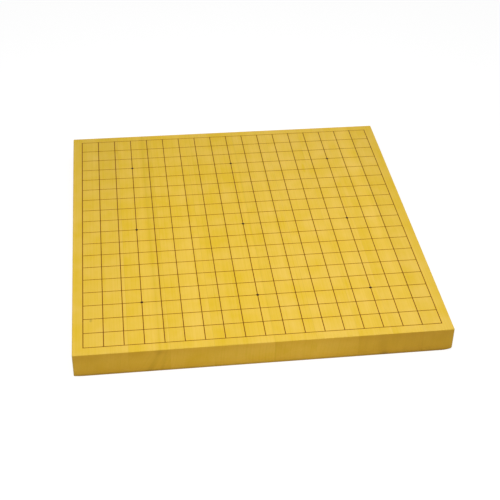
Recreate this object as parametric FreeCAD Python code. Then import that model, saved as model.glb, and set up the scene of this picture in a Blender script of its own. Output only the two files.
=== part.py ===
import FreeCAD, Part

import os

# A flat table board for weiqi: staves of wood glued edge to edge, with a raised lacquer grid on top.
# Millimetres. X runs to the player's right, Y away from the player along the grain, Z up.
# The origin is at the centre of the underside.

Vector = FreeCAD.Vector

# The grid, and the bare wood left around it
line_count = 19
line_pitch_across = 22.0
line_pitch_along = 23.7
side_margin = 12.0
end_margin = 11.7

# The board and the arrises planed off it: round the playing face, round the underside, down the corners
board_thickness = 30.0
top_arris = 0.8
bottom_arris = 1.5
corner_arris = 1.0

# Where each glued joint lies, from the left edge, as a share of the board's width
joint_shares = (0.143, 0.250, 0.364, 0.521, 0.631, 0.743, 0.833, 0.917)

# The lacquer strokes: each side draws in by line_slope for each film's height that it rises, as on the stars
line_width = 0.8
line_height = 0.15
line_slope = 0.1

# How far a cross line takes to climb from the wood onto a long line
lap_run = 0.6

# The star points: buttons of lacquer over the middle crossings and those this many lines in from the edges
star_diameter = 3.5
star_cover = 0.15
star_inset_lines = 3

grid_width = (line_count - 1) * line_pitch_across
grid_depth = (line_count - 1) * line_pitch_along
board_width = grid_width + 2 * side_margin
board_depth = grid_depth + 2 * end_margin
half_line = line_width / 2
star_height = 2 * line_height + star_cover


def line_places(pitch):
    """Where the lines of one family lie, each side of the middle of the board."""
    middle = (line_count - 1) / 2
    return [(index - middle) * pitch for index in range(line_count)]


def star_indices():
    """The lines that carry star points: one near each edge and the middle one."""
    last = line_count - 1
    return (star_inset_lines, last // 2, last - star_inset_lines)


def prism(points, direction):
    """A solid made by pushing a closed outline of straight runs along a direction."""
    return Part.Face(Part.makePolygon(points + points[:1])).extrude(direction)


def planed_blank():
    """The glued board, trimmed square and with its arrises taken off, before it is parted into staves."""
    x = board_width / 2
    y = board_depth / 2
    outline = [
        Vector(-x + corner_arris, -y, 0),
        Vector(x - corner_arris, -y, 0),
        Vector(x, -y + corner_arris, 0),
        Vector(x, y - corner_arris, 0),
        Vector(x - corner_arris, y, 0),
        Vector(-x + corner_arris, y, 0),
        Vector(-x, y - corner_arris, 0),
        Vector(-x, -y + corner_arris, 0),
    ]
    blank = prism(outline, Vector(0, 0, board_thickness))
    playing_face = max(blank.Faces, key=lambda face: face.CenterOfMass.z)
    blank = blank.makeChamfer(top_arris, playing_face.Edges)
    underside = min(blank.Faces, key=lambda face: face.CenterOfMass.z)
    return blank.makeChamfer(bottom_arris, underside.Edges)


def staves():
    """The staves from left to right: the blank parted at each glued joint."""
    blank = planed_blank()
    joints = [0] + [share * board_width for share in joint_shares] + [board_width]
    pieces = []
    for left, right in zip(joints, joints[1:]):
        corner = Vector(left - board_width / 2, -board_depth / 2, 0)
        strip = Part.makeBox(right - left, board_depth, board_thickness, corner)
        pieces.append(blank.common(strip).Solids[0])
    return pieces


def bead(x, y, half_width, half_depth, films):
    """A low bar of lacquer on the wood, as many films high, whose four sides draw in as they rise."""
    draw_in = films * line_slope
    bar = Part.makeWedge(
        -half_width, 0, -half_depth, -half_depth + draw_in, -half_width + draw_in,
        half_width, films * line_height, half_depth, half_depth - draw_in, half_width - draw_in,
    )
    bar.rotate(Vector(0, 0, 0), Vector(1, 0, 0), 90)
    bar.translate(Vector(x, y, board_thickness))
    return bar


def long_line(x):
    """One stroke along the grain, straight on the wood."""
    return bead(x, 0, half_line, grid_depth / 2 + half_line, 1)


def lapping_film(y):
    """A film that lies on the wood, climbs over every long line and fits it closely underneath."""
    wood = board_thickness
    film = wood + line_height
    lap = film + line_height
    top = []
    under = []
    for x in line_places(line_pitch_across):
        left = x - half_line
        right = x + half_line
        top += [Vector(left - lap_run, y, film), Vector(left, y, lap)]
        top += [Vector(right, y, lap), Vector(right + lap_run, y, film)]
        under += [Vector(left, y, wood), Vector(left + line_slope, y, film)]
        under += [Vector(right - line_slope, y, film), Vector(right, y, wood)]
    # The film ends on the border lines, so it has no climb outside them and nothing on the wood there
    end = grid_width / 2 + half_line
    top = [Vector(-end, y, lap)] + top[2:-2] + [Vector(end, y, lap)]
    under = [Vector(-end, y, film)] + under[2:-2] + [Vector(end, y, film)]
    return prism(top + under[::-1], Vector(0, line_width, 0))


def cross_line(y):
    """One stroke from left to right: the lapping film, with the sloping sides of a bead two films high."""
    stroke = bead(0, y, grid_width / 2 + half_line, half_line, 2)
    return stroke.common(lapping_film(y - half_line)).Solids[0]


def star_point(x, y, strokes):
    """A low button of lacquer set over a crossing, so that its underside takes the shape of both lines."""
    radius = star_diameter / 2
    draw_in = line_slope * star_height / line_height
    foot = Vector(x, y, board_thickness)
    button = Part.makeCone(radius, radius - draw_in, star_height, foot)
    return button.cut(strokes).Solids[0]


def build():
    """Every piece of the board by name."""
    long_lines = [long_line(x) for x in line_places(line_pitch_across)]
    cross_lines = [cross_line(y) for y in line_places(line_pitch_along)]
    pieces = {}
    for number, stave in enumerate(staves(), start=1):
        pieces[f"stave_{number}"] = stave
    for number, line in enumerate(long_lines, start=1):
        pieces[f"long_line_{number:02d}"] = line
    for number, line in enumerate(cross_lines, start=1):
        pieces[f"cross_line_{number:02d}"] = line
    for row, row_name in zip(star_indices(), ("front", "middle", "back")):
        for column, column_name in zip(star_indices(), ("left", "centre", "right")):
            x = line_places(line_pitch_across)[column]
            y = line_places(line_pitch_along)[row]
            star = star_point(x, y, [long_lines[column], cross_lines[row]])
            pieces[f"star_point_{row_name}_{column_name}"] = star
    return pieces


os.makedirs("parts", exist_ok=True)
for name, piece in build().items():
    piece.exportStep(f"parts/{name}.step")
    print(f"{name}: {piece.Volume:.1f} mm3, {len(piece.Faces)} faces, valid {piece.isValid()}")
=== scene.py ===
"""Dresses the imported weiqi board: nine spruce staves, the raised lacquer grid and its star points.

It lies on a white table in a pale studio.
"""

import logging
import math
from collections.abc import Mapping, Sequence
from dataclasses import dataclass, field
from enum import Enum

import bpy
import numpy as np
from mathutils import Matrix, Vector


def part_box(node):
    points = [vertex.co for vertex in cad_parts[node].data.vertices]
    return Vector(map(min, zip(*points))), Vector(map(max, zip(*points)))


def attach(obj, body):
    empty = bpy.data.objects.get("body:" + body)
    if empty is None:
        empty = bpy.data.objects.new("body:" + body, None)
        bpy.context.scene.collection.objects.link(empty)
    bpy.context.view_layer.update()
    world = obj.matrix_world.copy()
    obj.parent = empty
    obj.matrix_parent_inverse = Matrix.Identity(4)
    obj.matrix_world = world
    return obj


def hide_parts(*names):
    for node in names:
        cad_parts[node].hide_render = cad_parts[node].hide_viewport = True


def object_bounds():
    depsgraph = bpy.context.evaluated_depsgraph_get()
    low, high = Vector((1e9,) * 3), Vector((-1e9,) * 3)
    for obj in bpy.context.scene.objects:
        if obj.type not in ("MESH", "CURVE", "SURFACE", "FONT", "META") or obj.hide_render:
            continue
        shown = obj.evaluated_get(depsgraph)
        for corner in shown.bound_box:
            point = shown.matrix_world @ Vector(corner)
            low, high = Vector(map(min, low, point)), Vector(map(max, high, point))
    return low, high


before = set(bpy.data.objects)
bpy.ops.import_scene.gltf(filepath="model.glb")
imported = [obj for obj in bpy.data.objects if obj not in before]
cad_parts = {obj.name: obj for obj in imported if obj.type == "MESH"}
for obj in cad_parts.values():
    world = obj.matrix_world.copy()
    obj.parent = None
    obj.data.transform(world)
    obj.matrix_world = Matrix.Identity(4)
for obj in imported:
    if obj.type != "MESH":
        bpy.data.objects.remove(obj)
cad_low, cad_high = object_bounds()

LOG = logging.getLogger("weiqi_board")
MM = 0.001
BODY = "root"
SHARP_ANGLE_DEG = 38.0
NOISE_ROUGHNESS = 0.55
# How far each step of a seed moves a piece through the noise, along x, y and z
SEED_MOVE = (1.0, 1.7, 0.6)

Triple = tuple[float, float, float]
Colour = Triple


class Slot(Enum):
    """The record's material slots."""

    WOOD = "spruce"
    LINE = "line_lacquer"
    STAR = "star_lacquer"


class Sawing(Enum):
    """How a stave was sawn: how far its growth rings lean from upright in the end grain, in degrees."""

    QUARTER = 3.0
    NEAR_QUARTER = 9.0
    RIFT = 27.0


class Heart(Enum):
    """The side of a stave on which the middle of the tree lay."""

    LEFT = -1.0
    RIGHT = 1.0


class Direction(Enum):
    """The two families of strokes, each with the index of the axis along it and of the axis across it.

    In lower case each name is also how its nodes' names start.
    """

    LONG_LINE = (1, 0)
    CROSS_LINE = (0, 1)


@dataclass(frozen=True)
class Signal:
    """A value in a material: one output socket, whose arithmetic adds Math nodes."""

    bench: "ShaderBench"
    socket: bpy.types.NodeSocket

    def combined(self, operation: str, first: object, second: object = 0.0) -> "Signal":
        """One Math node.

        Args:
            operation: The Math node's operation.
            first: The first operand, a signal or a number.
            second: The second operand, a signal or a number.

        Returns:
            The node's result.
        """
        settings = {"operation": operation}
        return self.bench.signal("ShaderNodeMath", settings, {0: first, 1: second})

    def __add__(self, other: object) -> "Signal":
        """This value plus another."""
        return self.combined("ADD", self, other)

    def __radd__(self, other: object) -> "Signal":
        """Another value plus this one."""
        return self.combined("ADD", other, self)

    def __sub__(self, other: object) -> "Signal":
        """This value less another."""
        return self.combined("SUBTRACT", self, other)

    def __rsub__(self, other: object) -> "Signal":
        """Another value less this one."""
        return self.combined("SUBTRACT", other, self)

    def __mul__(self, other: object) -> "Signal":
        """This value times another."""
        return self.combined("MULTIPLY", self, other)

    def __rmul__(self, other: object) -> "Signal":
        """Another value times this one."""
        return self.combined("MULTIPLY", other, self)

    def __truediv__(self, other: object) -> "Signal":
        """This value over another."""
        return self.combined("DIVIDE", self, other)

    def __pow__(self, other: object) -> "Signal":
        """This value to a power."""
        return self.combined("POWER", self, other)

    def __abs__(self) -> "Signal":
        """This value without its sign."""
        return self.combined("ABSOLUTE", self)

    def fraction(self) -> "Signal":
        """What is left of this value past a whole number."""
        return self.combined("FRACT", self)

    def whole(self) -> "Signal":
        """The whole number at or under this value."""
        return self.combined("FLOOR", self)

    def larger(self, other: "Signal") -> "Signal":
        """The larger of this value and another."""
        return self.combined("MAXIMUM", self, other)

    def between(self, ends: tuple[float, float]) -> "Signal":
        """The number this share of the way from the first end to the second."""
        return self * (ends[1] - ends[0]) + ends[0]


class ShaderBench:
    """Makes the nodes of one material, or of the surround."""

    def __init__(self, owner: bpy.types.Material | bpy.types.World) -> None:
        """Starts with no nodes.

        Args:
            owner: What the nodes are made for.
        """
        owner.use_nodes = True
        self.owner = owner
        self.tree = owner.node_tree
        self.tree.nodes.clear()

    def node(
        self, kind: str, settings: Mapping[str, object], sockets: Mapping[str | int, object]
    ) -> bpy.types.Node:
        """One node, with its settings made before its sockets are filled.

        Args:
            kind: The node's type.
            settings: The node's properties by name.
            sockets: A value or a link for each input, by name or by number.

        Returns:
            The new node.
        """
        made = self.tree.nodes.new(kind)
        for name, value in settings.items():
            setattr(made, name, value)
        for key, value in sockets.items():
            if isinstance(value, Signal):
                self.tree.links.new(value.socket, made.inputs[key])
            else:
                made.inputs[key].default_value = value
        return made

    def signal(
        self,
        kind: str,
        settings: Mapping[str, object],
        sockets: Mapping[str | int, object],
        output: str | int = 0,
    ) -> Signal:
        """One output of a new node.

        Args:
            kind: The node's type.
            settings: The node's properties by name.
            sockets: A value or a link for each input, by name or by number.
            output: The output that is wanted, by name or by number.

        Returns:
            The output as a signal.
        """
        return Signal(self, self.node(kind, settings, sockets).outputs[output])

    def place(self) -> Signal:
        """The point that is shaded, in the piece's own frame, in millimetres."""
        metres = self.signal("ShaderNodeTexCoord", {}, {}, "Object")
        return self.scaled(metres, 1 / MM)

    def axes(self, vector: Signal) -> tuple[Signal, Signal, Signal]:
        """The three parts of a vector.

        Args:
            vector: The vector.

        Returns:
            Its x, y and z.
        """
        x, y, z = self.node("ShaderNodeSeparateXYZ", {}, {0: vector}).outputs
        return Signal(self, x), Signal(self, y), Signal(self, z)

    def scaled(self, vector: Signal, factor: object) -> Signal:
        """A vector or a colour times a number.

        Args:
            vector: The vector or colour.
            factor: The number, or a signal.

        Returns:
            The product.
        """
        return self.signal("ShaderNodeVectorMath", {"operation": "SCALE"}, {0: vector, "Scale": factor})

    def stretched(self, vector: Signal, factors: object) -> Signal:
        """A vector or a colour times another, part by part.

        Args:
            vector: The vector or colour.
            factors: What each part is multiplied by, a vector or a signal.

        Returns:
            The product.
        """
        return self.signal("ShaderNodeVectorMath", {"operation": "MULTIPLY"}, {0: vector, 1: factors})

    def grain_noise(self, place: Signal, layer: "NoiseLayer", seed: float = 0.0) -> Signal:
        """Smooth noise about zero.

        Args:
            place: The point, in millimetres.
            layer: The size and the fineness of the noise.
            seed: Where in the noise the piece lies, so that no two pieces match.

        Returns:
            A value that is mostly within half of one either side of zero.
        """
        local = self.stretched(place, tuple(1 / length for length in layer.cell))
        offset = tuple((seed + layer.seed) * move for move in SEED_MOVE)
        moved = self.signal("ShaderNodeVectorMath", {"operation": "ADD"}, {0: local, 1: offset})
        sockets = {"Vector": moved, "Scale": 1.0, "Detail": layer.detail, "Roughness": NOISE_ROUGHNESS}
        return self.signal("ShaderNodeTexNoise", {"noise_dimensions": "3D"}, sockets) - 0.5

    def step(self, value: Signal, start: float, end: float) -> Signal:
        """A smooth rise from 0 to 1 while a value goes from start to end.

        Args:
            value: The value.
            start: Where the rise starts.
            end: Where it ends, which may lie below start.

        Returns:
            The risen share.
        """
        settings = {"interpolation_type": "SMOOTHSTEP"}
        if start < end:
            sockets = {"Value": value, "From Min": start, "From Max": end}
            return self.signal("ShaderNodeMapRange", settings, sockets)
        sockets = {"Value": value, "From Min": end, "From Max": start}
        return 1.0 - self.signal("ShaderNodeMapRange", settings, sockets)

    def mixed(self, factor: Signal, first: object, second: object) -> Signal:
        """A colour between two.

        Args:
            factor: 0 for the first colour, 1 for the second.
            first: The first colour.
            second: The second colour.

        Returns:
            The mixed colour.
        """
        settings = {"data_type": "RGBA", "clamp_factor": True}
        colours = [c if isinstance(c, Signal) else (*c, 1.0) for c in (first, second)]
        return self.signal("ShaderNodeMix", settings, {0: factor, 6: colours[0], 7: colours[1]}, 2)

    def bump(self, height: Signal, relief: float, strength: float) -> Signal:
        """A normal that leans as a fine relief would.

        Args:
            height: The relief's share of its full height.
            relief: The full height, in metres.
            strength: How much of the lean shows.

        Returns:
            The normal.
        """
        sockets = {"Strength": strength, "Distance": relief, "Height": height}
        return self.signal("ShaderNodeBump", {}, sockets, "Normal")

    def finish(self, surface: Mapping[str, object]) -> bpy.types.Material:
        """Ends the material with its shader.

        Args:
            surface: A value or a link for each input of the Principled shader.

        Returns:
            The material.
        """
        shader = self.signal("ShaderNodeBsdfPrincipled", {}, surface)
        self.node("ShaderNodeOutputMaterial", {}, {"Surface": shader})
        return self.owner


@dataclass(frozen=True)
class NoiseLayer:
    """One layer of noise: how long its cells are along x, y and z, in millimetres, how many finer octaves it
    has, and what it adds to a piece's seed."""

    cell: Triple
    detail: float
    seed: float = 0.0


@dataclass(frozen=True)
class Streak:
    """A band of darker wood that follows the rings: where its foot and head lie in the end grain, from the
    board's left side, its half width, and how dark it is at its foot and at its head."""

    foot: float
    head: float
    half_width: float
    foot_shade: float
    head_shade: float


@dataclass(frozen=True)
class Fleck:
    """A mark in the wood, such as a resin pocket: an oval drawn out along the grain. Its place is measured
    from the left side, the front and the underside. Shade is how dark it is and warmth how orange."""

    across: float
    along: float
    up: float
    half_width: float
    half_length: float
    shade: float
    warmth: float = 0.0


@dataclass(frozen=True)
class StaveStock:
    """The strip of wood that a stave was cut from.

    Lengths are in millimetres. Tones are its lightness beside the other staves at the front and at the back,
    and end_tones that of its end grain at the left and at the right joint. Figure is how strongly its rings
    show, and warmths are how far it leans from yellow to orange at the front and at the back.
    """

    sawing: Sawing
    heart: Heart
    ring_pitch: float
    tones: tuple[float, float]
    end_tones: tuple[float, float]
    figure: float
    warmths: tuple[float, float]
    streaks: tuple[Streak, ...] = ()
    flecks: tuple[Fleck, ...] = ()


# The nine staves from left to right, as picked and turned by the maker
STAVE_STOCK = (
    StaveStock(
        Sawing.NEAR_QUARTER, Heart.LEFT, 3.4, (0.98, 0.91), (0.86, 0.89), 0.8, (0.38, 0.60),
        flecks=(Fleck(20.6, 56.5, 30.0, 2.3, 4.2, 0.26),),
    ),
    StaveStock(
        Sawing.RIFT, Heart.LEFT, 3.9, (1.0, 0.95), (0.89, 0.925), 0.7, (0.46, 0.68),
        (Streak(82.0, 94.0, 5.6, 0.09, 0.05), Streak(95.0, 101.0, 3.8, 0.08, 0.04)),
        (Fleck(80.5, 0.0, 1.5, 6.0, 12.0, 0.07), Fleck(93.0, 0.0, 28.0, 7.0, 2.0, 0.08)),
    ),
    StaveStock(Sawing.NEAR_QUARTER, Heart.LEFT, 3.6, (0.99, 0.98), (0.935, 0.965), 0.6, (0.52, 0.62)),
    StaveStock(Sawing.QUARTER, Heart.RIGHT, 3.5, (0.99, 0.97), (0.96, 1.0), 1.2, (0.60, 0.72)),
    StaveStock(
        Sawing.QUARTER, Heart.RIGHT, 2.8, (1.0, 0.99), (0.97, 0.98), 0.7, (0.42, 0.38),
        (Streak(219.5, 219.5, 1.2, 0.04, 0.05),),
    ),
    StaveStock(
        Sawing.NEAR_QUARTER, Heart.RIGHT, 3.8, (1.01, 1.01), (0.99, 0.89), 0.8, (0.29, 0.27),
        flecks=(Fleck(306.0, 347.0, 30.0, 2.6, 17.0, 0.01, 0.9),),
    ),
    StaveStock(
        Sawing.QUARTER, Heart.RIGHT, 3.1, (1.02, 1.02), (0.87, 0.83), 0.8, (0.28, 0.34),
        (Streak(342.0, 338.0, 9.0, 0.08, 0.03),),
        (Fleck(342.5, 0.0, 0.5, 7.5, 12.0, 0.17),),
    ),
    StaveStock(
        Sawing.QUARTER, Heart.LEFT, 3.3, (1.0, 1.03), (0.83, 0.79), 0.6, (0.34, 0.44),
        (Streak(379.0, 379.0, 7.0, -0.015, -0.015),),
    ),
    StaveStock(Sawing.NEAR_QUARTER, Heart.LEFT, 3.2, (0.98, 0.99), (0.80, 0.81), 0.8, (0.32, 0.54)),
)


@dataclass(frozen=True)
class SpruceFinish:
    """Pale spruce under a satin varnish that has yellowed it.

    The figure is solid: rings round the middle of the tree run the length of the board as fine straight lines
    and show as arcs in its end grain. That soaks up more varnish, which takes out more green than red and
    most blue, so a darker end is a warmer one. Lengths are in millimetres but for relief, which is in metres.
    A depth is how much darker a thing makes the wood, a warmth how far it turns it from yellow to orange, and
    a rise the pair of values between which a share goes from 0 to 1. Glue's and the ends' are measured from
    the stave's edge, the painted shade's and the corner darkening's from the board's, and a fleck's in its
    half sizes.
    """

    early_wood: Colour = (0.812, 0.537, 0.070)
    late_wood: Colour = (0.772, 0.499, 0.006)
    plain: Colour = (1.0, 1.0, 1.0)
    seed_step: float = 11.3
    fibres: NoiseLayer = NoiseLayer((0.5, 34.0, 0.5), 3.0, 2.0)
    strands: NoiseLayer = NoiseLayer((2.4, 120.0, 2.4), 2.0, 3.0)
    boards: NoiseLayer = NoiseLayer((19.0, 650.0, 19.0), 1.0, 4.0)
    clouds: NoiseLayer = NoiseLayer((26.0, 34.0, 26.0), 2.0, 5.0)
    ring_wander: NoiseLayer = NoiseLayer((70.0, 520.0, 70.0), 1.0)
    ring_ripple: NoiseLayer = NoiseLayer((9.0, 170.0, 9.0), 1.0, 1.0)
    wander_swing: float = 4.0
    ripple_swing: float = 0.7
    season_rings: float = 4.0
    season_swing: float = 1.8
    late_rise: tuple[float, float] = (0.30, 0.88)
    late_fall: tuple[float, float] = (1.0, 0.92)
    year_shares: tuple[float, float] = (0.35, 1.0)
    creep_tint: Colour = (1.0, 0.90, 0.42)
    creep_reach: float = 1.5
    end_tint: Colour = (0.97, 0.89, 0.625)
    soak_powers: Colour = (1.0, 1.3, 6.3)
    end_warmth: float = 0.52
    head_tint: Colour = (0.94, 0.905, 0.68)
    head_reach: float = 15.0
    foot_tint: Colour = (1.0, 0.97, 0.92)
    foot_reach: float = 12.0
    heart_distance: float = 190.0
    line_depth: float = 0.033
    end_line_depth: float = 0.031
    fibre_depth: float = 0.035
    strand_depth: float = 0.018
    board_depth: float = 0.088
    cloud_depth: float = 0.048
    ring_warmth: float = 0.3
    strand_warmth: float = 0.6
    board_warmth: float = 0.8
    cloud_warmth: float = 1.6
    streak_warmth: float = 4.0
    fleck_rise: tuple[float, float] = (1.0, 0.2)
    glue_rise: tuple[float, float] = (0.22, 0.055)
    glue_depth: float = 0.16
    end_glue_depth: float = 0.06
    # Painted shade low on the sides and on the lower arris, where the table's shadow falls, and a darkening
    # down the corners
    foot_painted_shade: float = 0.06
    foot_painted_shade_rise: tuple[float, float] = (9.0, 2.0)
    arris_painted_shade: float = 0.34
    arris_painted_shade_rise: tuple[float, float] = (4.0, 0.5)
    corner_darkening: float = 0.22
    corner_darkening_rise: tuple[float, float] = (1.8, 0.4)
    end_rise: tuple[float, float] = (0.12, 0.04)
    roughness: float = 0.50
    fibre_roughness: float = 0.12
    ring_smoothness: float = 0.05
    end_roughness: float = 0.08
    specular: float = 0.3
    varnish: float = 0.05
    varnish_roughness: float = 0.30
    relief: float = 0.00006
    relief_strength: float = 0.35
    ring_height: float = 0.6
    fibre_height: float = 0.5

    def material(self, stave: "Stave", stock: StaveStock, number: int) -> bpy.types.Material:
        """The wood of one stave.

        Args:
            stave: The stave, for where it lies.
            stock: What it was cut from.
            number: Its number from the left, which picks its part of the noise.

        Returns:
            The material.
        """
        bench = ShaderBench(bpy.data.materials.new(f"spruce_{number}"))
        place = bench.place()
        x, y, z = bench.axes(place)
        seed = self.seed_step * number
        rings = self.rings(bench, place, (x, z), stave, stock, seed)
        fibre = bench.grain_noise(place, self.fibres, seed)
        strand = bench.grain_noise(place, self.strands, seed)
        board = bench.grain_noise(place, self.boards, seed)
        cloud = bench.grain_noise(place, self.clouds, seed)
        half_depth = stave.depth / (2 * MM)
        end = bench.step(abs(y), *(half_depth - depth for depth in self.end_rise))
        back = y / (2 * half_depth) + 0.5
        line_depth = end.between((self.line_depth, self.end_line_depth))
        shade = back.between(stock.tones) - rings * stock.figure * line_depth
        shade = shade - fibre * self.fibre_depth - strand * self.strand_depth
        shade = shade - board * self.board_depth - cloud * self.cloud_depth
        glue = end.between((self.glue_depth, self.end_glue_depth))
        streaks = self.streaks(bench, x, z, stock, stave)
        shade = shade - self.joint_line(bench, x, stave) * glue - streaks
        warmth = back.between(stock.warmths) * (1.0 - end) + end * self.end_warmth
        hue = rings * self.ring_warmth + strand * self.strand_warmth + board * self.board_warmth
        hue = hue + cloud * self.cloud_warmth + warmth + streaks * self.streak_warmth
        for fleck in stock.flecks:
            mark = self.fleck(bench, place, fleck)
            shade = shade - mark * fleck.shade
            hue = hue + mark * fleck.warmth
        # Painted shade low down and on the lower arris, and a darkening down the board's corners
        shade = shade * self.painted_shade_and_corner_darkening(bench, x, y, z)
        colour = bench.scaled(bench.mixed(hue, self.early_wood, self.late_wood), shade)
        crept = bench.mixed(self.creep(bench, (x, y), z), self.plain, self.creep_tint)
        colour = bench.stretched(colour, crept)
        soaked = self.soaked(bench, colour, (x, z), stave, stock)
        rough = self.roughness + fibre * self.fibre_roughness - rings * self.ring_smoothness
        rough = rough + end * self.end_roughness
        height = rings * self.ring_height - fibre * self.fibre_height
        bump = bench.bump(height, self.relief, self.relief_strength)
        return bench.finish({
            "Base Color": bench.mixed(end, colour, soaked),
            "Roughness": rough,
            "Specular IOR Level": self.specular,
            "Coat Weight": self.varnish,
            "Coat Roughness": self.varnish_roughness,
            "Normal": bump,
        })

    def painted_shade_and_corner_darkening(self, bench: ShaderBench, x: Signal, y: Signal, z: Signal) -> Signal:
        """Painted shade, faint low on the sides and darker on the lower arris where the table's shadow falls,
        and a darkening down the board's corners.

        Args:
            bench: The material's bench.
            x: The point's x, in millimetres.
            y: The point's y.
            z: The point's height.

        Returns:
            What the wood's colour is multiplied by.
        """
        faint = bench.step(z, *self.foot_painted_shade_rise) * self.foot_painted_shade
        dark = bench.step(z, *self.arris_painted_shade_rise) * self.arris_painted_shade
        beside = bench.step(cad_high.x / MM - abs(x), *self.corner_darkening_rise)
        before = bench.step(cad_high.y / MM - abs(y), *self.corner_darkening_rise)
        return (1.0 - faint) * (1.0 - dark) * (1.0 - beside * before * self.corner_darkening)

    def creep(self, bench: ShaderBench, place: tuple[Signal, Signal], z: Signal) -> Signal:
        """How far the lacquer's oil has crept into the playing face beside the lines.

        The grid's middle lines cross at x = y = 0, so a point's distance from the nearest line is the pitch
        times how far its place over the pitch is from a whole number.

        Args:
            bench: The material's bench.
            place: The point's x and y, in millimetres.
            z: The point's height.

        Returns:
            1 at a line, 0 past the reach of the creep.
        """
        top = cad_high.z / MM
        beside = []
        for direction in Direction:
            along, across = direction.value
            low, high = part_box(f"{direction.name.lower()}_01")
            half_line = (high[across] - low[across]) / (2 * MM)
            pitch = (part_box(f"{direction.name.lower()}_02")[0][across] - low[across]) / MM
            away = abs((place[across] / pitch + 0.5).fraction() - 0.5) * pitch
            end = high[along] / MM
            within = bench.step(abs(place[along]), end + self.creep_reach, end)
            beside.append(bench.step(away, self.creep_reach, half_line) * within)
        on_top = bench.step(z, top - 2 * self.creep_reach, top - self.creep_reach)
        return beside[0].larger(beside[1]) * on_top

    def soaked(
        self,
        bench: ShaderBench,
        colour: Signal,
        section: tuple[Signal, Signal],
        stave: "Stave",
        stock: StaveStock,
    ) -> Signal:
        """The wood's colour where the end grain has soaked up varnish.

        Its tone goes evenly from the left joint's to the right joint's. Each part of the colour is multiplied
        by that tone to a power of its own. Near the playing face it is darker and yellower, and low down a
        little warmer.

        Args:
            bench: The material's bench.
            colour: The wood's colour.
            section: The point's x and z, in millimetres.
            stave: The stave, for where it lies.
            stock: What it was cut from.

        Returns:
            The soaked colour.
        """
        across = (section[0] - stave.low.x / MM) / (stave.width / MM)
        left, right = (end_tone / stock.tones[0] for end_tone in stock.end_tones)
        tints = [
            tuple(tint * tone**power for tint, power in zip(self.end_tint, self.soak_powers))
            for tone in (left, right)
        ]
        tint = bench.mixed(across, tints[0], tints[1])
        height = stave.height / MM
        near_top = bench.step(section[1], height - self.head_reach, height)
        head = bench.mixed(near_top, self.plain, self.head_tint)
        foot = bench.mixed(bench.step(section[1], self.foot_reach, 0.0), self.plain, self.foot_tint)
        return bench.stretched(bench.stretched(colour, tint), bench.stretched(head, foot))

    def fleck(self, bench: ShaderBench, place: Signal, fleck: Fleck) -> Signal:
        """A mark in the wood: its share falls as a smooth step with the distance from its middle.

        That distance is counted in the mark's half sizes.

        Args:
            bench: The material's bench.
            place: The point, in millimetres.
            fleck: The mark.

        Returns:
            1 in its middle, 0 outside it.
        """
        middle = (fleck.across + cad_low.x / MM, fleck.along + cad_low.y / MM, fleck.up)
        away = bench.signal("ShaderNodeVectorMath", {"operation": "SUBTRACT"}, {0: place, 1: middle})
        shares = bench.stretched(away, (1 / fleck.half_width, 1 / fleck.half_length, 1 / fleck.half_width))
        distance = bench.signal("ShaderNodeVectorMath", {"operation": "LENGTH"}, {0: shares}, "Value")
        return bench.step(distance, *self.fleck_rise)

    def rings(
        self,
        bench: ShaderBench,
        place: Signal,
        section: tuple[Signal, Signal],
        stave: "Stave",
        stock: StaveStock,
        seed: float,
    ) -> Signal:
        """How much of the late wood of a ring lies at a point.

        The distance from the middle of the tree, bent a little by slow noise, is counted in rings. In each
        ring the late wood rises slowly from 0 and ends sharply, and some rings show more than others.

        Args:
            bench: The material's bench.
            place: The point, in millimetres.
            section: The point's x and z.
            stave: The stave, for where it lies.
            stock: What it was cut from.
            seed: The stave's part of the noise.

        Returns:
            0 in early wood, up to 1 in late wood.
        """
        lean = math.radians(stock.sawing.value)
        side = stock.heart.value
        heart_x = stave.middle / MM + side * self.heart_distance * math.cos(lean)
        heart_z = stave.height / (2 * MM) - side * self.heart_distance * math.sin(lean)
        from_x = section[0] - heart_x
        from_z = section[1] - heart_z
        radius = (from_x * from_x + from_z * from_z) ** 0.5
        wander = bench.grain_noise(place, self.ring_wander, seed) * self.wander_swing
        ripple = bench.grain_noise(place, self.ring_ripple, seed) * self.ripple_swing
        season = radius / (self.season_rings * stock.ring_pitch)
        one_way = {"noise_dimensions": "1D"}
        seasons = bench.signal("ShaderNodeTexNoise", one_way, {"W": season, "Detail": 1.0})
        count = (radius + wander + ripple) / stock.ring_pitch + seasons * self.season_swing
        part = count.fraction()
        late = bench.step(part, *self.late_rise) * bench.step(part, *self.late_fall)
        year = bench.signal("ShaderNodeTexWhiteNoise", one_way, {"W": count.whole()})
        return late * year.between(self.year_shares)

    def joint_line(self, bench: ShaderBench, x: Signal, stave: "Stave") -> Signal:
        """The hairline of glue at a stave's joints.

        Args:
            bench: The material's bench.
            x: The point's x, in millimetres.
            stave: The stave.

        Returns:
            1 in the glue, 0 outside it.
        """
        edge = stave.width / (2 * MM) - abs(x - stave.middle / MM)
        return bench.step(edge, *self.glue_rise)

    def streaks(
        self, bench: ShaderBench, x: Signal, z: Signal, stock: StaveStock, stave: "Stave"
    ) -> object:
        """The darker bands that follow the rings.

        A band's middle runs straight from its foot to its head. Its shade falls off as a smooth step across
        its half width, and goes evenly from the foot's to the head's.

        Args:
            bench: The material's bench.
            x: The point's x, in millimetres.
            z: The point's z, in millimetres.
            stock: What the stave was cut from.
            stave: The stave.

        Returns:
            How much darker the wood is.
        """
        left = cad_low.x / MM
        rise = z / (stave.height / MM)
        shade: object = 0.0
        for streak in stock.streaks:
            middle = rise.between((streak.foot + left, streak.head + left))
            band = bench.step(abs(x - middle), streak.half_width, 0.0)
            shade = band * rise.between((streak.foot_shade, streak.head_shade)) + shade
        return shade


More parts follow.
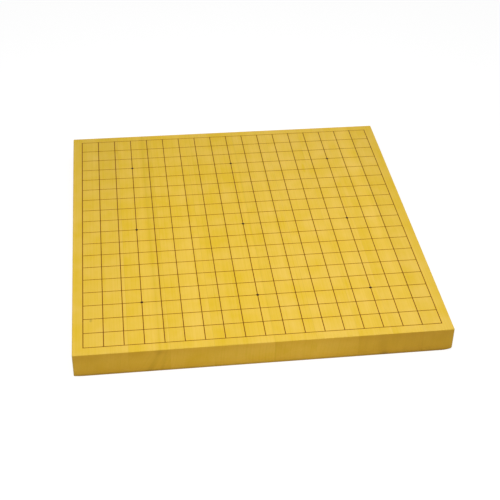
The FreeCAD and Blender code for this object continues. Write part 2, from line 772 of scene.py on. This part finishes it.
@dataclass(frozen=True)
class LacquerFinish:
    """Dark lacquer laid on thick and left to set, thinner and browner in places along a stroke."""

    name: str
    full: Colour = (0.085, 0.009, 0.001)
    thin: Colour = (0.130, 0.024, 0.002)
    covers: NoiseLayer = NoiseLayer((7.0, 7.0, 7.0), 2.0, 5.0)
    skins: NoiseLayer = NoiseLayer((0.35, 0.35, 0.35), 2.0, 9.0)
    thin_rise: tuple[float, float] = (-0.12, 0.35)
    roughness: float = 0.50
    skin_roughness: float = 0.15
    cover_roughness: float = 0.1
    specular: float = 0.1
    relief: float = 0.00002
    relief_strength: float = 0.4

    def material(self) -> bpy.types.Material:
        """The lacquer as a material."""
        bench = ShaderBench(bpy.data.materials.new(self.name))
        place = bench.place()
        cover = bench.grain_noise(place, self.covers)
        skin = bench.grain_noise(place, self.skins)
        colour = bench.mixed(bench.step(cover, *self.thin_rise), self.full, self.thin)
        rough = self.roughness + skin * self.skin_roughness + cover * self.cover_roughness
        return bench.finish({
            "Base Color": colour,
            "Roughness": rough,
            "Specular IOR Level": self.specular,
            "Normal": bench.bump(skin, self.relief, self.relief_strength),
        })


def swept_faces(rings: int, around: int) -> list[tuple[int, ...]]:
    """The faces of a closed loop of points carried through several stations, with a flat cap on each end.

    Point j of ring i has the number i * around + j. Faces point outwards where the loop's direction crossed
    with the direction of the sweep does.

    Args:
        rings: How many stations there are.
        around: How many points each loop has.

    Returns:
        The faces as tuples of point numbers.
    """
    ring, point = np.meshgrid(np.arange(rings - 1), np.arange(around), indexing="ij")
    following = (point + 1) % around
    corners = [ring * around + point, ring * around + following]
    corners += [(ring + 1) * around + following, (ring + 1) * around + point]
    quads = np.stack(corners, axis=-1).reshape(-1, 4)
    first_cap = np.arange(around)[::-1]
    last_cap = np.arange(around) + (rings - 1) * around
    return [tuple(face) for face in quads.tolist()] + [tuple(first_cap.tolist()), tuple(last_cap.tolist())]


def polar_faces(rings: int, around: int) -> list[tuple[int, ...]]:
    """The faces of a round form: rings between two poles, which are the last two points.

    Args:
        rings: How many rings there are between the poles.
        around: How many points each ring has.

    Returns:
        The faces as tuples of point numbers.
    """
    tube = swept_faces(rings, around)[:-2]
    first_pole = rings * around
    last_ring = (rings - 1) * around
    point = np.arange(around)
    following = (point + 1) % around
    start = np.stack([np.full(around, first_pole), following, point], axis=-1)
    end = np.stack([point + last_ring, following + last_ring, np.full(around, first_pole + 1)], axis=-1)
    return tube + [tuple(face) for face in np.concatenate([start, end]).tolist()]


def rounded_edge(distance: np.ndarray, radius: float) -> np.ndarray:
    """How far a face that meets another in a round arris has drawn back, this far from the other face.

    The arris is a quarter circle, so the draw-back is r - sqrt(r^2 - (r - d)^2) within the radius, 0 past it.

    Args:
        distance: The distances from the other face.
        radius: The arris's radius.

    Returns:
        The draw-back at each distance.
    """
    within = np.clip(radius - distance, 0.0, radius)
    return radius - np.sqrt(radius**2 - within**2)


def bulge(across: np.ndarray, fullness: float) -> np.ndarray:
    """The section of a drop that has set: (1 - |s|^n)^(1/n), with s from -1 at one rim to 1 at the other.

    Args:
        across: Where in the section each point lies.
        fullness: The power n. A larger one gives a flatter top and steeper sides.

    Returns:
        The share of the full height at each point, 0 outside the rims.
    """
    inside = np.clip(1.0 - np.abs(across) ** fullness, 0.0, 1.0)
    return inside ** (1.0 / fullness)


def new_piece(
    name: str,
    points: np.ndarray,
    faces: Sequence[tuple[int, ...]],
    material: bpy.types.Material,
    node: str,
) -> bpy.types.Object:
    """Makes a piece of the board that stands for a CAD node.

    Args:
        name: The piece's name.
        points: Its points in the board's frame, in metres.
        faces: Its faces as tuples of point numbers.
        material: Its finish.
        node: The CAD node that it stands for.

    Returns:
        The piece, smooth but for its sharp edges.
    """
    mesh = bpy.data.meshes.new(name)
    mesh.from_pydata(points.tolist(), [], faces)
    mesh.polygons.foreach_set("use_smooth", np.ones(len(mesh.polygons), dtype=bool))
    mesh.set_sharp_from_angle(angle=math.radians(SHARP_ANGLE_DEG))
    mesh.materials.append(material)
    piece = bpy.data.objects.new(name, mesh)
    bpy.context.scene.collection.objects.link(piece)
    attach(piece, BODY)
    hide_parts(node)
    LOG.info("%s: %d points, %d faces", name, len(mesh.vertices), len(mesh.polygons))
    return piece


@dataclass(frozen=True)
class Arrises:
    """The radii of the board's edges: round the playing face, round the underside and down its corners.

    Where two rounds meet, each keeps at least the least share of its own radius. The lower corners at the
    front are knocked: there the round of the underside grows over the knock's reach.
    """

    top: float = 1.0 * MM
    bottom: float = 0.6 * MM
    corner: float = 1.2 * MM
    least_share: float = 0.125
    arc_steps: int = 8
    support: float = 0.25 * MM
    knock_reach: float = 12.0 * MM
    knock_steps: int = 26


@dataclass
class Stave:
    """One strip of wood as deep as the board, square at its glued joints and rounded at its free edges."""

    node: str
    left_is_free: bool
    right_is_free: bool
    knock: float = 0.0
    arrises: Arrises = field(default_factory=Arrises)

    def __post_init__(self) -> None:
        """Reads the stave's place and size from the frame."""
        self.low, self.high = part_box(self.node)
        self.width = self.high.x - self.low.x
        self.depth = self.high.y - self.low.y
        self.height = self.high.z - self.low.z
        self.middle = (self.high.x + self.low.x) / 2

    def stations(self) -> np.ndarray:
        """Where the sections lie across the stave: its two sides, and the arris and the knock at a free side.

        There they lie at k (1 - cos t), with t even from 0 to 90 degrees and k the knock's reach. So they are
        closest in the round of the arris.

        Returns:
            The places along x.
        """
        reach = self.arrises.knock_reach
        turn = np.linspace(0.0, math.pi / 2, self.arrises.knock_steps)
        round_over = np.append(reach * (1 - np.cos(turn)), reach + self.arrises.support)
        left = self.low.x + round_over if self.left_is_free else np.array([self.low.x])
        right = self.high.x - round_over[::-1] if self.right_is_free else np.array([self.high.x])
        return np.concatenate([left, right])

    def free_distance(self, places: np.ndarray) -> np.ndarray:
        """How far each section is from the board's outer side, or the stave's width where it has none.

        Args:
            places: Where the sections lie along x.

        Returns:
            The distances.
        """
        distance = np.full(len(places), self.width)
        if self.left_is_free:
            distance = np.minimum(distance, places - self.low.x)
        if self.right_is_free:
            distance = np.minimum(distance, self.high.x - places)
        return distance

    def corner_arc(
        self, start: float, radius: np.ndarray, end_face: np.ndarray, level: np.ndarray
    ) -> tuple[np.ndarray, np.ndarray]:
        """One round corner of the sections, a quarter turn of points at radius r about a centre r inside it.

        Args:
            start: The angle at which the turn starts, in radians.
            radius: The radius in each section.
            end_face: Where the end face lies along y in each section.
            level: Where the top or the underside lies along z in each section.

        Returns:
            The y and the z of the points, a row for each section, with a support point at each end.
        """
        turn = start + np.linspace(0.0, math.pi / 2, self.arrises.arc_steps + 1)
        towards_y = np.sign(math.cos(start + math.pi / 4))
        towards_z = np.sign(math.sin(start + math.pi / 4))
        centre_y = (end_face - towards_y * radius)[:, None]
        centre_z = (level - towards_z * radius)[:, None]
        y = centre_y + radius[:, None] * np.cos(turn)
        z = centre_z + radius[:, None] * np.sin(turn)
        ahead = self.arrises.support
        before = (y[:, :1] + ahead * math.sin(start), z[:, :1] - ahead * math.cos(start))
        after = (y[:, -1:] - ahead * math.cos(start), z[:, -1:] - ahead * math.sin(start))
        return np.hstack([before[0], y, after[0]]), np.hstack([before[1], z, after[1]])

    def points(self) -> np.ndarray:
        """The sections of the stave, each a rounded rectangle in y and z that turns from y towards z.

        Near a free side each section draws back by the round of its arrises, and its corners shrink with it.
        A knock adds k (1 - d / reach)^2 to the radius of the lower corner at the front.

        Returns:
            The points, by station and then round the section.
        """
        places = self.stations()
        distance = self.free_distance(places)
        arris = self.arrises
        top_back = rounded_edge(distance, arris.top)
        bottom_back = rounded_edge(distance, arris.bottom)
        end = self.high.y - rounded_edge(distance, arris.corner)
        top_radius = np.maximum(arris.top - top_back, arris.top * arris.least_share)
        bottom_radius = np.maximum(arris.bottom - bottom_back, arris.bottom * arris.least_share)
        knocked = bottom_radius + self.knock * np.clip(1.0 - distance / arris.knock_reach, 0.0, 1.0) ** 2
        top = self.high.z - top_back
        bottom = self.low.z + bottom_back
        quarter = math.pi / 2
        corners = [
            self.corner_arc(-quarter, bottom_radius, end, bottom),
            self.corner_arc(0.0, top_radius, end, top),
            self.corner_arc(quarter, top_radius, -end, top),
            self.corner_arc(2 * quarter, knocked, -end, bottom),
        ]
        y = np.hstack([corner[0] for corner in corners])
        z = np.hstack([corner[1] for corner in corners])
        x = np.broadcast_to(places[:, None], y.shape)
        return np.stack([x, y, z], axis=-1)

    def build(self, material: bpy.types.Material) -> bpy.types.Object:
        """Makes the stave.

        Args:
            material: Its wood.

        Returns:
            The piece.
        """
        points = self.points()
        faces = swept_faces(points.shape[0], points.shape[1])
        return new_piece(f"{self.node}_wood", points.reshape(-1, 3), faces, material, self.node)


@dataclass
class GluedBoard:
    """The slab: its staves in order from the left, and how far its lower front corners are knocked."""

    finish: SpruceFinish = field(default_factory=SpruceFinish)
    stock: Sequence[StaveStock] = STAVE_STOCK
    left_knock: float = 1.5 * MM
    right_knock: float = 3.8 * MM

    def build(self) -> list[bpy.types.Object]:
        """Makes every stave.

        Returns:
            The staves' pieces.
        """
        pieces = []
        last = len(self.stock)
        knocks = {1: self.left_knock, last: self.right_knock}
        for number, stock in enumerate(self.stock, start=1):
            stave = Stave(f"stave_{number}", number == 1, number == last, knocks.get(number, 0.0))
            pieces.append(stave.build(self.finish.material(stave, stock, number)))
        return pieces


@dataclass(frozen=True)
class Hand:
    """The unsteadiness of a hand along a stroke: three slow waves of unlike length, in metres."""

    number: int
    wave_lengths: Triple = (0.113, 0.047, 0.0193)

    def swing(self, along: np.ndarray, aspect: int) -> np.ndarray:
        """The swing at each place, the mean of sin(2 pi t / w + p) over the waves.

        Args:
            along: The places along the stroke, in metres.
            aspect: Which aspect of the stroke swings, so that its width and its path don't swing together.

        Returns:
            Values from -1 to 1.
        """
        turn = 2 * math.pi
        starts = np.random.default_rng((self.number, aspect)).uniform(0.0, turn, len(self.wave_lengths))
        waves = [np.sin(turn * along / length + start) for length, start in zip(self.wave_lengths, starts)]
        return np.mean(waves, axis=0)


@dataclass
class Stroke:
    """A line of lacquer: a low round bead, drawn by hand along a straight edge."""

    node: str
    number: int
    direction: Direction
    film: float
    points_across: int = 11
    fullness: float = 2.6
    thinning: float = 0.16
    breadth: float = 1.0
    narrowing: float = 0.09
    wander: float = 0.018 * MM
    end_round: float = 0.22 * MM
    end_breadth: float = 0.7
    end_film: float = 0.35
    end_steps: int = 5
    body_steps: int = 180

    def __post_init__(self) -> None:
        """Reads the stroke's place and size from the frame."""
        along, across = self.direction.value
        low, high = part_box(self.node)
        self.start, self.end = low[along], high[along]
        self.middle = (low[across] + high[across]) / 2
        self.half_width = self.breadth * (high[across] - low[across]) / 2
        self.ground = low.z
        self.hand = Hand(self.number)

    def end_fade(self, along: np.ndarray, least: float) -> np.ndarray:
        """How the stroke closes at its ends: a quarter round from the least share there to the full section.

        Args:
            along: The places along the stroke.
            least: The share at the very end.

        Returns:
            The share of the full section at each place.
        """
        left = np.minimum(along - self.start, self.end - along)
        share = np.clip(left / self.end_round, 0.0, 1.0)
        return least + (1.0 - least) * np.sqrt(1.0 - (1.0 - share) ** 2)

    def path(self, along: np.ndarray) -> tuple[np.ndarray, np.ndarray, np.ndarray]:
        """The middle, the half width and the film's height along the stroke.

        Args:
            along: The places along the stroke.

        Returns:
            The three at each place.
        """
        room = (self.hand.swing(along, 0) + 1.0) / 2
        half = self.half_width * (1.0 - self.narrowing * room) * self.end_fade(along, self.end_breadth)
        film = self.film * (1.0 - self.thinning * (self.hand.swing(along, 1) + 1.0) / 2)
        middle = self.middle + self.wander * self.hand.swing(along, 2)
        slack = self.half_width - half
        middle = np.clip(middle, self.middle - slack, self.middle + slack)
        return middle, half, film * self.end_fade(along, self.end_film)

    def ground_height(self, along: np.ndarray) -> np.ndarray:
        """How high what the stroke lies on stands above the wood: nothing under a stroke on bare wood."""
        return np.zeros_like(along)

    def lap_height(self, along: np.ndarray) -> np.ndarray:
        """How far the stroke's top is lifted by what it crosses: nothing on bare wood."""
        return np.zeros_like(along)

    def height(self, along: np.ndarray, across: np.ndarray) -> np.ndarray:
        """How high the stroke stands above the wood: ground + (film + lap - ground) times the bead's section.

        Args:
            along: The places along the stroke.
            across: The places across it, of the same shape.

        Returns:
            The heights, 0 beside the stroke.
        """
        middle, half, film = self.path(along)
        ground = self.ground_height(along)
        section = bulge((across - middle) / half, self.fullness)
        inside = (np.abs(across - middle) < half) & (along > self.start) & (along < self.end)
        return np.where(inside, ground + (film + self.lap_height(along) - ground) * section, 0.0)

    def stations(self) -> np.ndarray:
        """Where the sections lie along the stroke: evenly, and closer in the rounds of its ends.

        Returns:
            The places, in order.
        """
        body = np.linspace(self.start + self.end_round, self.end - self.end_round, self.body_steps)[1:-1]
        return self.with_ends(body)

    def with_ends(self, body: np.ndarray) -> np.ndarray:
        """The places between the stroke's ends, with those in the rounds of its ends at r (1 - cos t).

        Args:
            body: The places between the rounds.

        Returns:
            All the places, in order.
        """
        round_end = self.end_round * (1 - np.cos(np.linspace(0.0, math.pi / 2, self.end_steps)))
        return np.concatenate([self.start + round_end, body, self.end - round_end[::-1]])

    def points(self) -> np.ndarray:
        """The sections of the bead, from one rim over its top to the other.

        Points lie at s = sin(v), with v even from -90 to 90 degrees, so that they are closest at the rims.

        Returns:
            The points, by station and then across.
        """
        along_axis, across_axis = self.direction.value
        places = self.stations()
        middle, half, film = self.path(places)
        ground = self.ground_height(places)
        share = np.sin(np.linspace(-math.pi / 2, math.pi / 2, self.points_across))
        if self.direction is Direction.CROSS_LINE:
            share = share[::-1]
        lift = film + self.lap_height(places) - ground
        made = np.empty((len(places), self.points_across, 3))
        made[..., along_axis] = places[:, None]
        made[..., across_axis] = middle[:, None] + half[:, None] * share
        made[..., 2] = self.ground + ground[:, None] + lift[:, None] * bulge(share, self.fullness)
        return made

    def build(self, material: bpy.types.Material) -> bpy.types.Object:
        """Makes the stroke.

        Args:
            material: Its lacquer.

        Returns:
            The piece.
        """
        points = self.points()
        faces = swept_faces(points.shape[0], points.shape[1])
        name = f"{self.node}_stroke"
        return new_piece(name, points.reshape(-1, 3), faces, material, self.node)


@dataclass
class CrossStroke(Stroke):
    """A line drawn second, from left to right, that climbs over every line along the grain."""

    under: Sequence[Stroke] = ()
    climb: float = 0.6 * MM
    rim: float = 0.9
    crossing_reach: float = 1.5 * MM
    crossing_steps: int = 13
    crowding: int = 5
    end_clearance: float = 1.2

    def ground_height(self, along: np.ndarray) -> np.ndarray:
        """How high the strokes underneath stand at each place, in this stroke's own middle.

        Args:
            along: The places along the stroke.

        Returns:
            The heights above the wood.
        """
        level = np.full_like(along, self.middle)
        return np.max([stroke.height(level, along) for stroke in self.under], axis=0)

    def lap_height(self, along: np.ndarray) -> np.ndarray:
        """How far the top is lifted near each crossing: f * (1 - u^2 (3 - 2u)), where f is the film of the
        stroke underneath, and u goes from 0 near its rim to 1 where the climb starts.

        Args:
            along: The places along the stroke.

        Returns:
            The lifts.
        """
        lifts = []
        for stroke in self.under:
            beyond = np.abs(along - stroke.middle) - stroke.half_width * self.rim
            share = np.clip(beyond / (self.climb + stroke.half_width * (1.0 - self.rim)), 0.0, 1.0)
            lifts.append(stroke.film * (1.0 - share**2 * (3.0 - 2.0 * share)))
        return np.max(lifts, axis=0)

    def stations(self) -> np.ndarray:
        """Where the sections lie along the stroke: close at each crossing and far apart between them.

        From a crossing to the middle of a cell they lie at a u + (c - a) u^n, with u even from 0 to 1, a the
        reach of the crossing, c half the cell, and n how strongly they crowd at the crossing.

        Returns:
            The places, in order.
        """
        crossings = np.array([stroke.middle for stroke in self.under])
        half_cell = (crossings[1] - crossings[0]) / 2
        even = np.linspace(0.0, 1.0, self.crossing_steps)
        outward = self.crossing_reach * even + (half_cell - self.crossing_reach) * even**self.crowding
        around = np.concatenate([-outward[:0:-1], outward[:-1]])
        inner = (crossings[:, None] + around).ravel()
        clear = self.end_clearance * self.end_round
        return self.with_ends(inner[(inner > self.start + clear) & (inner < self.end - clear)])


@dataclass
class StarPoint:
    """A round drop of lacquer set over a crossing, which has drawn itself into a low dome."""

    node: str
    strokes: Sequence[Stroke]
    around: int = 72
    rings: int = 18
    fullness: float = 2.8
    fall: float = 0.4

    def __post_init__(self) -> None:
        """Reads the drop's place and size from the frame."""
        low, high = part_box(self.node)
        self.centre = (low + high) / 2
        self.radius = (high.x - low.x) / 2
        self.crown = high.z - low.z
        self.ground = low.z

    def lines_height(self, x: np.ndarray, y: np.ndarray) -> np.ndarray:
        """How high the lines under the drop stand at each point.

        Args:
            x: The points' x.
            y: The points' y.

        Returns:
            The heights above the wood.
        """
        heights = [
            stroke.height(y, x) if stroke.direction is Direction.LONG_LINE else stroke.height(x, y)
            for stroke in self.strokes
        ]
        return np.max(heights, axis=0)

    def points(self) -> np.ndarray:
        """The drop: rings out along its underside, in again over its top, and then its two poles.

        The underside is the height g of the lines, and the top is g + (c - g) b, where b is the section of a
        drop at r / R, and the crown c falls by a share of (r / R)^2 from the middle.

        Returns:
            The points.
        """
        out = np.sin(np.linspace(0.0, math.pi / 2, self.rings + 1))[1:]
        share = np.concatenate([out, out[-2::-1]])[:, None]
        on_top = (np.arange(len(share)) >= self.rings)[:, None]
        turn = np.linspace(0.0, 2 * math.pi, self.around, endpoint=False)
        x = self.centre.x + self.radius * share * np.cos(turn)
        y = self.centre.y + self.radius * share * np.sin(turn)
        lines = self.lines_height(x, y)
        crown = self.crown * (1.0 - self.fall * share**2)
        drop = lines + (crown - lines) * bulge(share, self.fullness)
        z = self.ground + np.where(on_top, drop, lines)
        surface = np.stack([x, y, z], axis=-1).reshape(-1, 3)
        below = self.lines_height(np.array([self.centre.x]), np.array([self.centre.y]))[0]
        poles = [[self.centre.x, self.centre.y, self.ground + level] for level in (below, self.crown)]
        return np.concatenate([surface, poles])

    def build(self, material: bpy.types.Material) -> bpy.types.Object:
        """Makes the drop.

        Args:
            material: Its lacquer.

        Returns:
            The piece.
        """
        faces = polar_faces(2 * self.rings - 1, self.around)
        return new_piece(f"{self.node}_dot", self.points(), faces, material, self.node)


@dataclass
class LacquerGrid:
    """The drawn grid: lines along the grain, then lines across it, then the star points.

    The lines across were drawn from the front with a finer edge that ran drier, so their breadths are shares
    of a full line's at the front and at the back. A line's number picks the unsteadiness of its hand, and
    cross_hand is added to it for the lines across.
    """

    line_count: int = 19
    star_lines: tuple[int, int, int] = (4, 10, 16)
    cross_hand: int = 100
    long_narrowing: float = 0.01
    cross_breadths: tuple[float, float] = (0.91, 0.64)
    line_finish: LacquerFinish = LacquerFinish("line_lacquer")
    star_finish: LacquerFinish = LacquerFinish("star_lacquer", full=(0.022, 0.010, 0.003), roughness=0.30)

    def build(self) -> list[bpy.types.Object]:
        """Makes every line and star point in the order in which they are drawn.

        Returns:
            The pieces.
        """
        numbers = range(1, self.line_count + 1)
        low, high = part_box("long_line_01")
        film = high.z - low.z
        long_strokes = [
            Stroke(f"long_line_{n:02d}", n, Direction.LONG_LINE, film, narrowing=self.long_narrowing)
            for n in numbers
        ]
        cross_strokes = [
            CrossStroke(
                f"cross_line_{n:02d}", self.cross_hand + n, Direction.CROSS_LINE, film,
                breadth=breadth, under=long_strokes,
            )
            for n, breadth in zip(numbers, np.linspace(*self.cross_breadths, self.line_count))
        ]
        lacquer = self.line_finish.material()
        pieces = [stroke.build(lacquer) for stroke in long_strokes + cross_strokes]
        star_lacquer = self.star_finish.material()
        for row, row_name in zip(self.star_lines, ("front", "middle", "back")):
            for column, column_name in zip(self.star_lines, ("left", "centre", "right")):
                crossing = [long_strokes[column - 1], cross_strokes[row - 1]]
                star = StarPoint(f"star_point_{row_name}_{column_name}", crossing)
                pieces.append(star.build(star_lacquer))
        return pieces


@dataclass
class Studio:
    """A white table and surround, with a large soft lamp overhead and even light from all round."""

    table_size: float = 12.0
    table_paleness: float = 0.90
    table_glow: float = 0.74
    glow_strength: float = 1.16
    ambient: float = 0.36
    key_place: Triple = (-0.01, -0.16, 0.67)
    key_aim: Triple = (0.0, 0.0, 0.0)
    key_size: float = 0.9
    key_power: float = 4.65

    def build(self) -> None:
        """Makes the table, the surround and the lamp."""
        self.make_table()
        self.make_surround()
        self.make_lamp()

    def make_table(self) -> None:
        """The table: pale and matt, and seen by the camera as white but for the board's shadow."""
        reach = self.table_size / 2
        mesh = bpy.data.meshes.new("table_top")
        corners = [(-reach, -reach, 0.0), (reach, -reach, 0.0), (reach, reach, 0.0), (-reach, reach, 0.0)]
        mesh.from_pydata(corners, [], [(0, 1, 2, 3)])
        bench = ShaderBench(bpy.data.materials.new("white_table"))
        pale = bench.signal("ShaderNodeBsdfDiffuse", {}, {"Color": (*(self.table_paleness,) * 3, 1.0)})
        glow = bench.signal("ShaderNodeEmission", {}, {"Strength": self.glow_strength})
        seen = self.seen_directly(bench)
        surface = bench.signal("ShaderNodeMixShader", {}, {0: seen * self.table_glow, 1: pale, 2: glow})
        bench.node("ShaderNodeOutputMaterial", {}, {"Surface": surface})
        mesh.materials.append(bench.owner)
        table = bpy.data.objects.new("table_top", mesh)
        bpy.context.scene.collection.objects.link(table)

    def seen_directly(self, bench: ShaderBench) -> Signal:
        """How far a ray is one that the camera sees by, straight, in a gloss or through glass.

        Args:
            bench: The bench of the table's material or of the surround.

        Returns:
            1 for such a ray, 0 for the light on the board.
        """
        path = bench.node("ShaderNodeLightPath", {}, {})
        kinds = ("Is Camera Ray", "Is Glossy Ray", "Is Transmission Ray")
        camera, gloss, glass = (Signal(bench, path.outputs[kind]) for kind in kinds)
        return camera.larger(gloss).larger(glass)

    def make_surround(self) -> None:
        """The surround: even light on the board, and white where it is seen."""
        world = bpy.data.worlds.new("surround")
        bench = ShaderBench(world)
        strength = self.seen_directly(bench).between((self.ambient, 1.0))
        sockets = {"Color": (1.0, 1.0, 1.0, 1.0), "Strength": strength}
        light = bench.signal("ShaderNodeBackground", {}, sockets)
        bench.node("ShaderNodeOutputWorld", {}, {"Surface": light})
        bpy.context.scene.world = world

    def make_lamp(self) -> None:
        """The soft lamp, aimed at the board."""
        lamp = bpy.data.lights.new("soft_lamp", "AREA")
        lamp.shape = "SQUARE"
        lamp.size = self.key_size
        lamp.energy = self.key_power
        holder = bpy.data.objects.new("soft_lamp", lamp)
        holder.location = self.key_place
        aim = Vector(self.key_aim) - Vector(self.key_place)
        holder.rotation_mode = "QUATERNION"
        holder.rotation_quaternion = aim.to_track_quat("-Z", "Y")
        bpy.context.scene.collection.objects.link(holder)


@dataclass(frozen=True)
class StudioCamera:
    """A camera in front of the board and above it, turned a little to the right and rolled a little."""

    place: Triple = (-0.14235, -1.12218, 0.82462)
    heading_deg: float = 8.6152
    look_down_deg: float = 36.4206
    roll_deg: float = -1.6946
    focal_px: float = 1108.13
    centre_x_px: float = 263.724
    image_px: float = 500.0
    sensor_mm: float = 36.0

    def build(self) -> bpy.types.Object:
        """Makes the camera that the scene is seen through.

        The view axis is found from the heading, to the right of +Y, and the angle below the horizon. The roll
        turns the level axis about it.

        Returns:
            The camera.
        """
        heading = math.radians(self.heading_deg)
        down = math.radians(self.look_down_deg)
        roll = math.radians(self.roll_deg)
        level_share = math.cos(down)
        forward = Vector((math.sin(heading) * level_share, math.cos(heading) * level_share, -math.sin(down)))
        level = forward.cross(Vector((0.0, 0.0, 1.0))).normalized()
        right = level * math.cos(roll) + forward.cross(level) * math.sin(roll)
        up = right.cross(forward)
        turn = Matrix((right, up, -forward)).transposed()
        data = bpy.data.cameras.new("studio_camera")
        data.sensor_width = self.sensor_mm
        data.lens = self.focal_px * self.sensor_mm / self.image_px
        data.shift_x = ((self.image_px - 1.0) / 2 - self.centre_x_px) / self.image_px
        camera = bpy.data.objects.new("studio_camera", data)
        camera.matrix_world = Matrix.Translation(self.place) @ turn.to_4x4()
        bpy.context.scene.collection.objects.link(camera)
        bpy.context.scene.camera = camera
        return camera


def main() -> None:
    """Builds the board, the studio and the camera, and reports what was made."""
    logging.basicConfig(level=logging.INFO, format="%(message)s")
    staves = GluedBoard().build()
    strokes = LacquerGrid().build()
    Studio().build()
    StudioCamera().build()
    bpy.context.scene.view_settings.view_transform = "Standard"
    LOG.info("%d staves, %d strokes and dots", len(staves), len(strokes))


if __name__ == "__main__":
    main()
